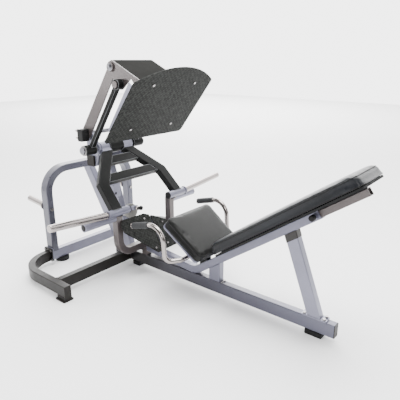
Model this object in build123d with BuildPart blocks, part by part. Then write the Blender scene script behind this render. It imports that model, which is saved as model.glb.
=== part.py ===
"""Plate-loaded leg press: a floor frame, a hinged weight lever, a foot carriage on a parallelogram
linkage, a fixed seat and a back pad on a telescoping rail.

Frame: +X towards the head end, -X towards the foot-plate end, Y across (near side is -Y), +Z up.
The origin is on the floor, under the middle of the machine. Units are millimetres.
"""
from build123d import *
from math import atan2, cos, degrees, hypot, radians, sin, sqrt, tan
import os

os.makedirs("parts", exist_ok=True)

SIDES = {"near": -1, "far": 1}

# Tube sizes.
TUBE_WIDE = 50.0
TUBE_TALL = 75.0
RAIL_TALL = 80.0
WALL = 3.0
TUBE_CORNER = 6.0
PLATE = 8.0

# Floor frame.
FOOT_H = 30.0
RAIL_X0 = -652.0
RAIL_X1 = 1097.0
RAIL_TOP = FOOT_H + RAIL_TALL
BASE_TOP = FOOT_H + TUBE_TALL
FRONT_X = -515.0
REAR_X = -950.0
LOOP_Y = 654.0
LOOP_END_X = -387.0
LOOP_BEND = 223.0
FLANGE_Y = 415.0
FLANGE_TOP = 128.0
LOOP_LEG_LONG = 79.0

# Rear hoop and its storage horns.
HOOP_Y = 382.0
HOOP_TOP = 710.0
HOOP_BEND = 165.0
STORAGE_Z = 444.0
STORAGE_LONG = 193.0
STORAGE_COLLAR_R = 34.0
STORAGE_COLLAR_T = 10.0
HORN_R = 23.0
HORN_TILT = 5.0

# Linkage: four parallel pivots, seen from the side as (x, z).
LEVER_PIVOT = Vector(-640.0, 872.0)
ROD_TOP = Vector(-325.0, 1315.0)
LINK_TOP = Vector(-408.0, 1416.0)
LINK_PIVOT = LEVER_PIVOT + (LINK_TOP - ROD_TOP)
MAIN_AXLE_R = 20.0
LINK_AXLE_R = 15.0
ROD_PIN_R = 14.0
LINK_PIN_R = 12.0
RUNNING_FIT = 0.05
OPEN_FIT = 0.6

# Distances of the linkage's layers from the middle, from the inside out.
PIVOT_PLATE_Y = 138.0
PIVOT_PLATE_T = 12.0
LINK_Y = 156.0
LINK_T = 10.0
CARRIAGE_Y = 169.0
ROD_Y = 182.0
ROD_T = 35.0
ROD_WIDE = 28.0
BLOCK_T = 56.0
BLOCK_LONG = 56.0
MAIN_HUB_Y = 172.0
MAIN_HUB_LONG = 90.0
MAIN_HUB_R = 35.0
ROD_HUB_Y = 180.0
ROD_HUB_LONG = 42.0
ROD_HUB_R = 32.0

# Weight lever, in its own plane: distance down the arm from the pivot, and distance from the middle.
ARM_END = Vector(-300.0, 520.0)
ARM_TOP_A = 46.0
ARM_TOP_Y = 95.0
ARM_KNEE_A = 283.0
ARM_KNEE_Y = 276.0
ARM_FOOT_Y = 290.0
HORN_A = 495.0
HORN_ROOT_R = 26.0
HORN_ROOT_Y = 195.0
HORN_COLLAR_Y = 364.0
HORN_COLLAR_T = 10.0
HORN_COLLAR_R = 31.0
HORN_LONG = 415.0
REST_X = -318.0
REST_GAP = 0.3

# Foot plate: where the middle of its lower edge is, its slope and its outline.
PLATE_FOOT = Vector(-313.0, 973.0)
PLATE_SLOPE = 51.9
PLATE_T = 6.0
PLATE_HALF = 350.0
PLATE_SIDE = 465.0
PLATE_LONG = 568.0
PLATE_CORNER = 24.0
PLATE_BOLT_Y = 184.0
PLATE_BOLT_S = (96.0, 445.0)
COVER_TOP = Vector(-400.0, 1459.0)
COVER_MEETS_S = 412.0

# Seat rail: a shallow arm towards the mast, a bend on the main rail, and the sloping back arm.
SEAT_TUBE = 50.0
SEAT_TUBE_WALL = 4.0
BACK_SLOPE = 35.1
BACK_FOOT = Vector(179.0, 132.0)
SEAT_RAIL_END = Vector(-316.0, 171.0)
SEAT_RAIL_BEND = 130.0
OUTER_RAIL_LONG = 972.0
INNER_TUBE = 40.0
INNER_FROM = 640.0
INNER_TO = 1252.0
BOARD_T = 12.0
BOARD_N = 53.0
BACK_PAD_TOP = 140.0
BACK_PAD_FROM = 285.0
BACK_PAD_TO = 1300.0
BACK_PAD_HALF = 162.0

# Seat cushion: front top edge, slope, size.
SEAT_FRONT = Vector(60.0, 541.0)
SEAT_SLOPE = -35.0
SEAT_LONG = 340.0
SEAT_THICK = 66.0
SEAT_HALF_FRONT = 210.0
SEAT_HALF_REAR = 203.0
SEAT_BOARD_T = 14.0

PULL_PIN_S = 944.0
PIN_R = 6.0

# Handles.
HANDLE_Y = 320.0
HANDLE_R = 15.0
HANDLE_START = Vector(-112.0, 478.0)
HANDLE_CORNER = Vector(132.0, 542.4)
HANDLE_CROSS = Vector(205.0, 307.0)
HANDLE_BENDS = [95.0, 48.0, 48.0]

# Support posts, step box and cradle.
SHORT_POST = (252.0, 336.0)
POST_TILT = 110.9
POST_FOOT_X = 976.0
STEP_FOOT = Vector(-175.0, 190.0)
STEP_HEAD = Vector(-300.0, 415.0)
STEP_T = 5.0
CRADLE_X = -341.0
CRADLE_Y = 254.0
CRADLE_Z = 200.0
CRADLE_BEND = 95.0
CRADLE_TOP = 480.0
MAST_FOOT_X = -515.0
BRACE_FOOT_X = -602.0
MAST_HEAD = Vector(-705.0, 778.0)
HEAD_TUBE = 75.0
PEG_R = 27.0
PEG_Z = 464.0
PEG_END_Y = 522.0
MAST_BUMPER_AT = 278.0


def save(builder, name):
    """Label a finished piece and write it as a STEP file."""
    builder.part.label = name
    export_step(builder.part, f"parts/{name}.step")


def side_plane(y):
    """A plane across Y, drawn as seen from the near side: local x is X, local y is Z."""
    return Plane(origin=(0, y, 0), x_dir=(1, 0, 0), z_dir=(0, -1, 0))


def layer(side, inner, thick):
    """The plane from which a plate between inner and inner + thick is extruded, on either side."""
    return side_plane(-inner) if side < 0 else side_plane(inner + thick)


def tube_profile(plane, wide, tall, wall=WALL, corner=TUBE_CORNER):
    """The section of a rectangular tube, on a plane whose origin is on the tube's centreline."""
    with BuildSketch(plane) as section:
        RectangleRounded(wide, tall, corner)
        RectangleRounded(wide - 2 * wall, tall - 2 * wall, max(corner - wall, 1.0), mode=Mode.SUBTRACT)
    return section.sketch


def ring_profile(plane, x, y, outer, inner=0.0):
    """A disc or a ring drawn at a point of a plane."""
    with BuildSketch(plane) as section:
        with Locations((x, y)):
            Circle(outer)
            if inner:
                Circle(inner, mode=Mode.SUBTRACT)
    return section.sketch


def bolt_head_profile(plane, x, y, across=18.0):
    """The hexagon of a bolt head, drawn at a point of a plane."""
    with BuildSketch(plane) as section:
        with Locations((x, y)):
            RegularPolygon(across / 2, 6, major_radius=False)
    return section.sketch


def along(start, angle, distance, rise=0.0):
    """A side-view point: distance along a sloping line from start, then rise square to it."""
    turn = radians(angle)
    x = start.X + distance * cos(turn) - rise * sin(turn)
    z = start.Y + distance * sin(turn) + rise * cos(turn)
    return (x, z)


def back_point(distance, rise):
    """A side-view point on the back arm, measured from its lower edge."""
    return along(BACK_FOOT, BACK_SLOPE, distance, rise)


def plate_point(up, behind):
    """A side-view point of the foot carriage: up the foot plate's face and behind it."""
    return along(PLATE_FOOT, PLATE_SLOPE, up, behind)


def point_3d(xz, y=0.0):
    return (xz[0], y, xz[1])


ARM_ANGLE = degrees(atan2(ARM_END.Y - LEVER_PIVOT.Y, ARM_END.X - LEVER_PIVOT.X))
ARM_DIR = Vector(cos(radians(ARM_ANGLE)), 0, sin(radians(ARM_ANGLE)))
ARM_NORMAL = Vector(-sin(radians(ARM_ANGLE)), 0, cos(radians(ARM_ANGLE)))
ROD_ANGLE = degrees(atan2(ROD_TOP.Y - LEVER_PIVOT.Y, ROD_TOP.X - LEVER_PIVOT.X))
ROD_LONG = hypot(ROD_TOP.X - LEVER_PIVOT.X, ROD_TOP.Y - LEVER_PIVOT.Y)
HORN_X, HORN_Z = along(LEVER_PIVOT, ARM_ANGLE, HORN_A)
lever_origin = (LEVER_PIVOT.X, 0, LEVER_PIVOT.Y)
arm_plane = Plane(origin=lever_origin, x_dir=ARM_DIR, z_dir=ARM_NORMAL)
plate_up = Vector(cos(radians(PLATE_SLOPE)), 0, sin(radians(PLATE_SLOPE)))
plate_back = Vector(-sin(radians(PLATE_SLOPE)), 0, cos(radians(PLATE_SLOPE)))

# ---------------------------------------------------------------- floor frame

rail_middle = FOOT_H + RAIL_TALL / 2
base_middle = FOOT_H + TUBE_TALL / 2

with BuildPart() as main_rail:
    rail_start = Plane(origin=(RAIL_X0, 0, rail_middle), x_dir=(0, 1, 0), z_dir=(1, 0, 0))
    extrude(tube_profile(rail_start, TUBE_WIDE, RAIL_TALL), amount=RAIL_X1 - RAIL_X0)
save(main_rail, "main_rail")

with BuildPart() as tube_end_caps:
    for cap_x in (RAIL_X0 - 4, RAIL_X1):
        with BuildSketch(Plane(origin=(cap_x, 0, rail_middle), x_dir=(0, 1, 0), z_dir=(1, 0, 0))):
            RectangleRounded(TUBE_WIDE, RAIL_TALL, TUBE_CORNER)
        extrude(amount=4)
    for side in SIDES.values():
        with BuildSketch(layer(side, PIVOT_PLATE_Y + PIVOT_PLATE_T, 14)):
            with Locations((MAST_HEAD.X, MAST_HEAD.Y)):
                RectangleRounded(HEAD_TUBE, HEAD_TUBE, 8)
        extrude(amount=14)
save(tube_end_caps, "tube_end_caps")

with BuildPart() as front_cross:
    for side in SIDES.values():
        start = TUBE_WIDE / 2
        end = LOOP_Y - TUBE_WIDE / 2
        cross_from = (FRONT_X, side * start, base_middle)
        cross_start = Plane(origin=cross_from, x_dir=(1, 0, 0), z_dir=(0, side, 0))
        extrude(tube_profile(cross_start, TUBE_WIDE, TUBE_TALL), amount=end - start)
save(front_cross, "front_cross_tubes")

for side_name, side in SIDES.items():
    with BuildPart() as side_loop:
        bend_x = REAR_X + LOOP_BEND
        bend_y = LOOP_Y - LOOP_BEND
        diagonal = LOOP_BEND * sqrt(0.5)
        with BuildLine() as loop_path:
            straight = Line((LOOP_END_X, side * LOOP_Y, base_middle), (bend_x, side * LOOP_Y, base_middle))
            bend = ThreePointArc(
                (bend_x, side * LOOP_Y, base_middle),
                (bend_x - diagonal, side * (bend_y + diagonal), base_middle),
                (REAR_X, side * bend_y, base_middle),
            )
            Line((REAR_X, side * bend_y, base_middle), (REAR_X, side * (FLANGE_Y + PLATE), base_middle))
        loop_from = (LOOP_END_X, side * LOOP_Y, base_middle)
        loop_start = Plane(origin=loop_from, x_dir=(0, 1, 0), z_dir=(-1, 0, 0))
        sweep(tube_profile(loop_start, TUBE_WIDE, TUBE_TALL))
        foot_x = LOOP_END_X - LOOP_LEG_LONG / 2
        with BuildSketch(Plane.XY.offset(PLATE)):
            with Locations((foot_x, side * LOOP_Y)):
                Rectangle(LOOP_LEG_LONG, TUBE_WIDE)
        extrude(amount=FOOT_H - PLATE)
        with BuildSketch(Plane.XY):
            with Locations((foot_x, side * LOOP_Y)):
                RectangleRounded(LOOP_LEG_LONG + 18, TUBE_WIDE + 26, 10)
        extrude(amount=PLATE)
        end_face = Plane(origin=(LOOP_END_X, side * LOOP_Y, 0), x_dir=(0, 1, 0), z_dir=(1, 0, 0))
        with BuildSketch(end_face):
            with Locations((0, (PLATE + BASE_TOP) / 2)):
                RectangleRounded(TUBE_WIDE, BASE_TOP - PLATE, 5)
        extrude(amount=4)
        with BuildSketch(layer(side, FLANGE_Y, PLATE)):
            with Locations((REAR_X, FOOT_H + 49)):
                RectangleRounded(94, 98, 8)
        extrude(amount=PLATE)
    save(side_loop, f"side_loop_{side_name}")

with BuildPart() as rear_cross:
    reach = FLANGE_Y - PLATE
    rear_start = Plane(origin=(REAR_X, -reach, base_middle), x_dir=(1, 0, 0), z_dir=(0, 1, 0))
    extrude(tube_profile(rear_start, TUBE_WIDE, TUBE_TALL), amount=2 * reach)
    for side in SIDES.values():
        with BuildSketch(layer(side, reach, PLATE)):
            with Locations((REAR_X, FOOT_H + 49)):
                RectangleRounded(94, 98, 8)
        extrude(amount=PLATE)
save(rear_cross, "rear_cross_tube")

with BuildPart() as rear_hoop:
    corner_in = HOOP_BEND * (1 - sqrt(0.5))
    shoulder = HOOP_Y - HOOP_BEND
    with BuildLine() as hoop_path:
        Line((REAR_X, -HOOP_Y, BASE_TOP), (REAR_X, -HOOP_Y, HOOP_TOP - HOOP_BEND))
        ThreePointArc(
            (REAR_X, -HOOP_Y, HOOP_TOP - HOOP_BEND),
            (REAR_X, -HOOP_Y + corner_in, HOOP_TOP - corner_in),
            (REAR_X, -shoulder, HOOP_TOP),
        )
        Line((REAR_X, -shoulder, HOOP_TOP), (REAR_X, shoulder, HOOP_TOP))
        ThreePointArc(
            (REAR_X, shoulder, HOOP_TOP),
            (REAR_X, HOOP_Y - corner_in, HOOP_TOP - corner_in),
            (REAR_X, HOOP_Y, HOOP_TOP - HOOP_BEND),
        )
        Line((REAR_X, HOOP_Y, HOOP_TOP - HOOP_BEND), (REAR_X, HOOP_Y, BASE_TOP))
    hoop_start = Plane(origin=(REAR_X, -HOOP_Y, BASE_TOP), x_dir=(1, 0, 0), z_dir=(0, 0, 1))
    sweep(tube_profile(hoop_start, TUBE_TALL, TUBE_WIDE))
    split(bisect_by=Plane.XY.offset(FLANGE_TOP))
    hoop_feet = Plane.XY.offset(BASE_TOP)
    for side in SIDES.values():
        with BuildSketch(hoop_feet):
            with Locations((REAR_X, side * (HOOP_Y - 2))):
                Rectangle(TUBE_TALL, TUBE_WIDE - 4)
        extrude(amount=FLANGE_TOP - BASE_TOP)
save(rear_hoop, "rear_hoop")

for side_name, side in SIDES.items():
    with BuildPart() as storage_horn:
        hoop_back = REAR_X - TUBE_TALL / 2
        tilt = radians(HORN_TILT)
        horn_axis = (-cos(tilt), 0, sin(tilt))
        horn_start = Plane(origin=(hoop_back, side * HOOP_Y, STORAGE_Z), z_dir=horn_axis)
        collar = ring_profile(horn_start.offset(-8), 0, 0, STORAGE_COLLAR_R)
        extrude(collar, amount=8 + STORAGE_COLLAR_T)
        split(bisect_by=Plane(origin=(hoop_back, 0, 0), z_dir=(-1, 0, 0)))
        extrude(ring_profile(horn_start.offset(STORAGE_COLLAR_T), 0, 0, HORN_R), amount=STORAGE_LONG)
        tip_edges = storage_horn.edges().filter_by(GeomType.CIRCLE).sort_by(Axis.X)[0]
        fillet(tip_edges, 4)
    save(storage_horn, f"storage_horn_{side_name}")

# ---------------------------------------------------------------- mast

mast_angle = degrees(atan2(MAST_HEAD.Y - HEAD_TUBE / 2 - RAIL_TOP, MAST_HEAD.X - MAST_FOOT_X))
with BuildPart() as mast_post:
    mast_axis = (cos(radians(mast_angle)), 0, sin(radians(mast_angle)))
    below = along(Vector(MAST_FOOT_X, RAIL_TOP), mast_angle, -60)
    mast_start = Plane(origin=point_3d(below), x_dir=(0, 1, 0), z_dir=mast_axis)
    extrude(tube_profile(mast_start, TUBE_WIDE, TUBE_TALL), amount=860)
    split(bisect_by=Plane.XY.offset(RAIL_TOP))
    split(bisect_by=Plane.XY.offset(MAST_HEAD.Y - HEAD_TUBE / 2), keep=Keep.BOTTOM)
save(mast_post, "mast_post")

hoop_underside = HOOP_TOP - TUBE_WIDE / 2
brace_angle = degrees(atan2(hoop_underside - RAIL_TOP, REAR_X - BRACE_FOOT_X))
with BuildPart() as mast_brace:
    brace_axis = (cos(radians(brace_angle)), 0, sin(radians(brace_angle)))
    below = along(Vector(BRACE_FOOT_X, RAIL_TOP), brace_angle, -70)
    brace_start = Plane(origin=point_3d(below), x_dir=(0, 1, 0), z_dir=brace_axis)
    extrude(tube_profile(brace_start, TUBE_WIDE, TUBE_TALL), amount=860)
    split(bisect_by=Plane.XY.offset(RAIL_TOP))
    split(bisect_by=Plane.XY.offset(hoop_underside), keep=Keep.BOTTOM)
save(mast_brace, "mast_brace")

with BuildPart() as mast_head:
    head_start = Plane(origin=(MAST_HEAD.X, -PIVOT_PLATE_Y, MAST_HEAD.Y), x_dir=(1, 0, 0), z_dir=(0, 1, 0))
    extrude(tube_profile(head_start, HEAD_TUBE, HEAD_TUBE, wall=5), amount=2 * PIVOT_PLATE_Y)
save(mast_head, "mast_head")

head_low = MAST_HEAD.Y - HEAD_TUBE / 2
head_back = MAST_HEAD.X - HEAD_TUBE / 2
for side_name, side in SIDES.items():
    with BuildPart() as pivot_plate:
        with BuildSketch(layer(side, PIVOT_PLATE_Y, PIVOT_PLATE_T)) as plate_outline:
            with BuildLine():
                Polyline(
                    (head_back, head_low),
                    (head_back + HEAD_TUBE, head_low),
                    (LEVER_PIVOT.X + 12, LEVER_PIVOT.Y - 33),
                    (LEVER_PIVOT.X + 22, LEVER_PIVOT.Y + 28),
                    (LINK_PIVOT.X + 26, LINK_PIVOT.Y + 26),
                    (LINK_PIVOT.X - 20, LINK_PIVOT.Y + 28),
                    (head_back - 6, head_low + 150),
                    close=True,
                )
            make_face()
            with Locations((LEVER_PIVOT.X, LEVER_PIVOT.Y)):
                Circle(36)
            with Locations((LINK_PIVOT.X, LINK_PIVOT.Y)):
                Circle(34)
                Circle(LINK_AXLE_R, mode=Mode.SUBTRACT)
            with Locations((LEVER_PIVOT.X, LEVER_PIVOT.Y)):
                Circle(MAIN_AXLE_R, mode=Mode.SUBTRACT)
        extrude(amount=PIVOT_PLATE_T)
    save(pivot_plate, f"pivot_plate_{side_name}")

with BuildPart() as main_axle:
    half = MAIN_HUB_Y + MAIN_HUB_LONG + 14
    extrude(ring_profile(side_plane(half), LEVER_PIVOT.X, LEVER_PIVOT.Y, MAIN_AXLE_R), amount=2 * half)
    for face_y in (half, -half + 10):
        extrude(ring_profile(side_plane(face_y), LEVER_PIVOT.X, LEVER_PIVOT.Y, MAIN_AXLE_R + 5), amount=10)
save(main_axle, "main_axle")

with BuildPart() as link_axle:
    half = LINK_Y + LINK_T + 1
    extrude(ring_profile(side_plane(half), LINK_PIVOT.X, LINK_PIVOT.Y, LINK_AXLE_R), amount=2 * half)
save(link_axle, "link_axle")

with BuildPart() as mast_bumper:
    bumper_at = along(Vector(MAST_FOOT_X, RAIL_TOP), mast_angle, MAST_BUMPER_AT, -TUBE_TALL / 2)
    bumper_axis = (sin(radians(mast_angle)), 0, -cos(radians(mast_angle)))
    bumper_face = Plane(origin=point_3d(bumper_at), z_dir=bumper_axis)
    extrude(ring_profile(bumper_face, 0, 0, 22), amount=45)
    extrude(ring_profile(bumper_face.offset(45), 0, 0, 52), amount=45)
    bumper_rims = mast_bumper.edges().filter_by(GeomType.CIRCLE).filter_by(lambda rim: rim.radius > 50)
    fillet(bumper_rims, 9)
save(mast_bumper, "mast_bumper")

# ---------------------------------------------------------------- cradle under the lever

with BuildPart() as cradle:
    corner_in = CRADLE_BEND * (1 - sqrt(0.5))
    shoulder = CRADLE_Y - CRADLE_BEND
    low = CRADLE_Z
    with BuildLine() as cradle_path:
        Line((CRADLE_X, -CRADLE_Y, CRADLE_TOP), (CRADLE_X, -CRADLE_Y, low + CRADLE_BEND))
        ThreePointArc(
            (CRADLE_X, -CRADLE_Y, low + CRADLE_BEND),
            (CRADLE_X, -CRADLE_Y + corner_in, low + corner_in),
            (CRADLE_X, -shoulder, low),
        )
        Line((CRADLE_X, -shoulder, low), (CRADLE_X, shoulder, low))
        ThreePointArc(
            (CRADLE_X, shoulder, low),
            (CRADLE_X, CRADLE_Y - corner_in, low + corner_in),
            (CRADLE_X, CRADLE_Y, low + CRADLE_BEND),
        )
        Line((CRADLE_X, CRADLE_Y, low + CRADLE_BEND), (CRADLE_X, CRADLE_Y, CRADLE_TOP))
    cradle_start = Plane(origin=(CRADLE_X, -CRADLE_Y, CRADLE_TOP), x_dir=(1, 0, 0), z_dir=(0, 0, -1))
    sweep(tube_profile(cradle_start, TUBE_WIDE, TUBE_WIDE))
    stem = Plane(origin=(CRADLE_X, 0, RAIL_TOP), x_dir=(1, 0, 0), z_dir=(0, 0, 1))
    extrude(tube_profile(stem, TUBE_WIDE, TUBE_WIDE), amount=low - TUBE_WIDE / 2 - RAIL_TOP)
    for side in SIDES.values():
        with BuildSketch(Plane.XY.offset(CRADLE_TOP)):
            with Locations(((CRADLE_X + REST_X) / 2 + 1, side * CRADLE_Y)):
                RectangleRounded(TUBE_WIDE + 28, TUBE_WIDE, 6)
        extrude(amount=4)
save(cradle, "cradle")

with BuildPart() as rest_bumpers:
    rest_top = HORN_Z - HORN_ROOT_R - REST_GAP
    for side in SIDES.values():
        bumper = ring_profile(Plane.XY.offset(CRADLE_TOP + 4), REST_X, side * CRADLE_Y, 25)
        extrude(bumper, amount=rest_top - CRADLE_TOP - 4)
    fillet(rest_bumpers.edges().filter_by(GeomType.CIRCLE).group_by(Axis.Z)[-1], 2)
save(rest_bumpers, "rest_bumpers")

with BuildPart() as storage_pegs:
    for side in SIDES.values():
        peg_from = CRADLE_Y + TUBE_WIDE / 2
        peg_long = PEG_END_Y - peg_from
        extrude(ring_profile(layer(side, peg_from, peg_long), CRADLE_X - 4, PEG_Z, PEG_R), amount=peg_long)
save(storage_pegs, "storage_pegs")

# ---------------------------------------------------------------- seat rail and its posts

seat_line = Vector(*along(BACK_FOOT, BACK_SLOPE, 0, SEAT_TUBE / 2)) - Vector(0, 1)
front_arm_fall = 0.0883
rail_gain = tan(radians(BACK_SLOPE))
arms_apart = SEAT_RAIL_END.Y + front_arm_fall * SEAT_RAIL_END.X - seat_line.Y + rail_gain * seat_line.X
vertex_x = arms_apart / (rail_gain + front_arm_fall)
vertex_z = SEAT_RAIL_END.Y - front_arm_fall * (vertex_x - SEAT_RAIL_END.X)
rail_far_end = back_point(OUTER_RAIL_LONG, SEAT_TUBE / 2)
with BuildPart() as seat_rail:
    with BuildLine() as seat_path:
        FilletPolyline(
            (SEAT_RAIL_END.X - 30, 0, SEAT_RAIL_END.Y + 30 * front_arm_fall),
            (vertex_x, 0, vertex_z),
            (rail_far_end[0], 0, rail_far_end[1] - 1),
            radius=SEAT_RAIL_BEND,
        )
    seat_dir = Vector(1, 0, -front_arm_fall).normalized()
    seat_from = (SEAT_RAIL_END.X - 30, 0, SEAT_RAIL_END.Y + 30 * front_arm_fall)
    seat_start = Plane(origin=seat_from, x_dir=(0, 1, 0), z_dir=seat_dir)
    sweep(tube_profile(seat_start, SEAT_TUBE, SEAT_TUBE, wall=SEAT_TUBE_WALL))
    split(bisect_by=Plane(origin=(CRADLE_X + TUBE_WIDE / 2, 0, 0), z_dir=(1, 0, 0)))
    split(bisect_by=Plane.XY.offset(RAIL_TOP))
    pin_at = back_point(PULL_PIN_S, SEAT_TUBE / 2 - 1)
    extrude(ring_profile(side_plane(-10), pin_at[0], pin_at[1], PIN_R + 0.4), amount=60, mode=Mode.SUBTRACT)
    extrude(ring_profile(side_plane(-SEAT_TUBE / 2), pin_at[0], pin_at[1], 16, PIN_R + 0.4), amount=18)
save(seat_rail, "seat_rail")

rail_under = Plane(
    origin=point_3d((BACK_FOOT.X, BACK_FOOT.Y - 1)),
    x_dir=(cos(radians(BACK_SLOPE)), 0, sin(radians(BACK_SLOPE))),
    z_dir=(-sin(radians(BACK_SLOPE)), 0, cos(radians(BACK_SLOPE))),
)
with BuildPart() as short_post:
    post_wide = SHORT_POST[1] - SHORT_POST[0]
    post_middle = (SHORT_POST[0] + SHORT_POST[1]) / 2
    post_start = Plane(origin=(post_middle, 0, RAIL_TOP), x_dir=(1, 0, 0), z_dir=(0, 0, 1))
    extrude(tube_profile(post_start, post_wide, TUBE_WIDE), amount=200)
    split(bisect_by=rail_under, keep=Keep.BOTTOM)
save(short_post, "short_post")

post_axis = (cos(radians(POST_TILT)), 0, sin(radians(POST_TILT)))
post_foot = Vector(POST_FOOT_X, RAIL_TOP + PLATE)
bracket_cut = rail_under.offset(-42)
with BuildPart() as back_post:
    below = along(post_foot, POST_TILT, -60)
    post_start = Plane(origin=point_3d(below), x_dir=(0, 1, 0), z_dir=post_axis)
    extrude(tube_profile(post_start, TUBE_WIDE, TUBE_TALL), amount=700)
    split(bisect_by=Plane.XY.offset(RAIL_TOP + PLATE))
    split(bisect_by=bracket_cut, keep=Keep.BOTTOM)
    with BuildSketch(Plane.XY.offset(RAIL_TOP)):
        with Locations((POST_FOOT_X + 2, 0)):
            RectangleRounded(146, TUBE_WIDE + 6, 6)
    extrude(amount=PLATE)
save(back_post, "back_post")

with BuildPart() as post_bracket:
    below = along(post_foot, POST_TILT, 300)
    bracket_plane = Plane(origin=point_3d(below), x_dir=(0, 1, 0), z_dir=post_axis)
    extrude(tube_profile(bracket_plane, TUBE_WIDE + 4, TUBE_TALL + 4, wall=5), amount=400)
    split(bisect_by=bracket_cut)
    split(bisect_by=rail_under, keep=Keep.BOTTOM)
save(post_bracket, "post_bracket")

# ---------------------------------------------------------------- steps between the cradle arms

step_angle = degrees(atan2(STEP_HEAD.Y - STEP_FOOT.Y, STEP_HEAD.X - STEP_FOOT.X))
step_up = Vector(cos(radians(step_angle)), 0, sin(radians(step_angle)))
step_out = Vector(sin(radians(step_angle)), 0, -cos(radians(step_angle)))
step_long = hypot(STEP_HEAD.X - STEP_FOOT.X, STEP_HEAD.Y - STEP_FOOT.Y)
step_plane = Plane(origin=(STEP_FOOT.X, 0, STEP_FOOT.Y), x_dir=(0, 1, 0), z_dir=step_out)
near_wing = (
    (-4, -6),
    (-50, -8),
    (-262, step_long - 52),
    (-262, step_long + 5),
    (-232, step_long + 31),
    (-48, step_long + 26),
    (-4, step_long + 6),
)
far_wing = ((4, -6), (140, -6), (196, 60), (150, 168), (98, step_long - 48), (4, step_long + 2))
with BuildPart() as step_plates:
    for wing_points in (near_wing, far_wing):
        with BuildSketch(step_plane) as wing:
            with BuildLine():
                Polyline(*wing_points, close=True)
            make_face()
            fillet(wing.vertices(), 6)
        extrude(amount=STEP_T)
save(step_plates, "step_plates")

with BuildPart() as step_spine:
    spine_start = Plane(origin=(STEP_FOOT.X, 0, STEP_FOOT.Y), x_dir=(0, 1, 0), z_dir=step_up).offset(-60)
    spine_plane = Plane(origin=spine_start.origin - step_out * 20, x_dir=(0, 1, 0), z_dir=step_up)
    extrude(tube_profile(spine_plane, 90, 40), amount=step_long + 50)
    front_arm_top = Plane(
        origin=(SEAT_RAIL_END.X, 0, SEAT_RAIL_END.Y + SEAT_TUBE / 2 * sqrt(1 + front_arm_fall**2)),
        x_dir=(1, 0, -front_arm_fall),
        z_dir=(front_arm_fall, 0, 1),
    )
    split(bisect_by=front_arm_top)
save(step_spine, "step_spine")

# ---------------------------------------------------------------- seat

seat_turn = radians(SEAT_SLOPE)
seat_along = Vector(cos(seat_turn), 0, sin(seat_turn))
seat_up = Vector(-sin(seat_turn), 0, cos(seat_turn))
seat_top = Plane(origin=(SEAT_FRONT.X, 0, SEAT_FRONT.Y), x_dir=seat_along, z_dir=seat_up)
with BuildPart() as seat_pad:
    with BuildSketch(seat_top) as seat_outline:
        with BuildLine():
            Polyline(
                (0, -SEAT_HALF_FRONT),
                (SEAT_LONG, -SEAT_HALF_REAR),
                (SEAT_LONG, SEAT_HALF_REAR),
                (0, SEAT_HALF_FRONT),
                close=True,
            )
        make_face()
        fillet(seat_outline.vertices(), 30)
    extrude(amount=-SEAT_THICK)
    fillet(seat_pad.faces().sort_by(SortBy.AREA)[-1].edges(), 10)
save(seat_pad, "seat_pad")

with BuildPart() as seat_bracket:
    with BuildSketch(seat_top.offset(-SEAT_THICK)) as board_outline:
        with BuildLine():
            Polyline(
                (6, -SEAT_HALF_FRONT + 4),
                (SEAT_LONG - 14, -SEAT_HALF_REAR + 4),
                (SEAT_LONG - 14, SEAT_HALF_REAR - 4),
                (6, SEAT_HALF_FRONT - 4),
                close=True,
            )
        make_face()
        fillet(board_outline.vertices(), 26)
    extrude(amount=-SEAT_BOARD_T)
save(seat_bracket, "seat_board")

with BuildPart() as seat_post:
    column = Plane(origin=(HANDLE_CROSS.X, 0, 150), x_dir=(1, 0, 0), z_dir=(0, 0, 1))
    extrude(tube_profile(column, TUBE_WIDE + 10, TUBE_WIDE), amount=400)
    split(bisect_by=rail_under.offset(SEAT_TUBE))
    split(bisect_by=seat_top.offset(-SEAT_THICK - SEAT_BOARD_T), keep=Keep.BOTTOM)
save(seat_post, "seat_post")

handle_dir = Vector(HANDLE_CORNER.X - HANDLE_START.X, 0, HANDLE_CORNER.Y - HANDLE_START.Y).normalized()
with BuildPart() as handle_bars:
    for side in SIDES.values():
        with BuildLine() as handle_path:
            FilletPolyline(
                (HANDLE_START.X, side * HANDLE_Y, HANDLE_START.Y),
                (HANDLE_CORNER.X, side * HANDLE_Y, HANDLE_CORNER.Y),
                (148, side * HANDLE_Y, HANDLE_CROSS.Y),
                (HANDLE_CROSS.X, side * (HANDLE_Y - 85), HANDLE_CROSS.Y),
                (HANDLE_CROSS.X, side * TUBE_WIDE / 2, HANDLE_CROSS.Y),
                radius=HANDLE_BENDS,
            )
        handle_start = Plane(origin=(HANDLE_START.X, side * HANDLE_Y, HANDLE_START.Y), z_dir=handle_dir)
        sweep(ring_profile(handle_start, 0, 0, HANDLE_R, HANDLE_R - 3))
        extrude(ring_profile(handle_start, 0, 0, HANDLE_R + 5), amount=-6)
save(handle_bars, "handle_bars")

with BuildPart() as hand_grips:
    for side in SIDES.values():
        grip_start = Plane(origin=(HANDLE_START.X, side * HANDLE_Y, HANDLE_START.Y), z_dir=handle_dir)
        extrude(ring_profile(grip_start, 0, 0, HANDLE_R + 4, HANDLE_R), amount=136)
save(hand_grips, "hand_grips")

# ---------------------------------------------------------------- back pad on its telescoping tube

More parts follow.
